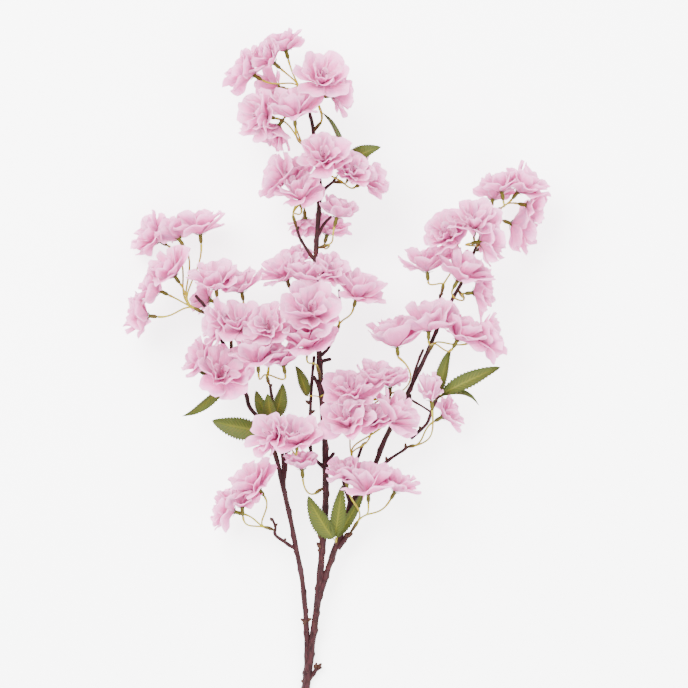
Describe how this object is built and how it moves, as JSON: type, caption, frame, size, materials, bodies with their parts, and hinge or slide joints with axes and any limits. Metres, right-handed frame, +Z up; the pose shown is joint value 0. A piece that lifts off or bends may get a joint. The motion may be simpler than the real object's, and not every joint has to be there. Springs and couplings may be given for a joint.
{
  "type": "blossom branch",
  "caption": "Cut branch of double almond blossom, laid flat: forked woody stems with side twigs, clusters of ruffled pink flowers on thin stalks, and toothed green leaves.",
  "frame": {"origin": "centre of the bounding box's base, on the surface the branch lies on", "axes": "+Y along the branch from its cut foot to its flowering tips, +Z up from the surface, +X to the right seen from above"},
  "size_m": [0.4283, 0.7186, 0.1286],
  "materials": {
    "bark": "dark purple-brown bark, satin, with paler mauve-grey streaks and small knobs",
    "petals": "thin matt petal, pale pink, deeper pink at its foot, whitish at its waved edge",
    "stalks": "yellow-green to olive, satin, browner at the spurs",
    "leaves": "olive green with paler embossed ribs and a darker toothed edge, greyer beneath"
  },
  "bodies": {
    "root": {"leaves_centre": "leaves", "leaves_foot": "leaves", "leaves_left": "leaves", "leaves_mid": "leaves", "leaves_right": "leaves", "leaves_top": "leaves", "petals_left_back": "petals", "petals_left_low": "petals", "petals_left_mid": "petals", "petals_left_side": "petals", "petals_left_tip": "petals", "petals_low_hang": "petals", "petals_low_left": "petals", "petals_low_mid": "petals", "petals_mid_left": "petals", "petals_mid_top": "petals", "petals_right_bud": "petals", "petals_right_crown": "petals", "petals_right_foot": "petals", "petals_right_leafy": "petals", "petals_right_mid": "petals", "petals_right_tip": "petals", "petals_right_top": "petals", "petals_right_wing": "petals", "petals_top_back": "petals", "petals_top_left": "petals", "petals_top_low": "petals", "petals_top_mid": "petals", "petals_top_right": "petals", "petals_top_side": "petals", "petals_top_tip": "petals", "petals_top_under": "petals", "stalks_left_low": "stalks", "stalks_left_mid": "stalks", "stalks_left_tip": "stalks", "stalks_low_hang": "stalks", "stalks_low_left": "stalks", "stalks_low_mid": "stalks", "stalks_mid_front": "stalks", "stalks_mid_left": "stalks", "stalks_mid_right": "stalks", "stalks_mid_top": "stalks", "stalks_right_crown": "stalks", "stalks_right_foot": "stalks", "stalks_right_leafy": "stalks", "stalks_right_low": "stalks", "stalks_right_mid": "stalks", "stalks_right_stem": "stalks", "stalks_right_tip": "stalks", "stalks_right_top": "stalks", "stalks_right_twig": "stalks", "stalks_top_left": "stalks", "stalks_top_low": "stalks", "stalks_top_mid": "stalks", "stalks_top_right": "stalks", "stalks_top_side": "stalks", "stalks_top_tip": "stalks", "wood": "bark"}
  },
  "joints": []
}
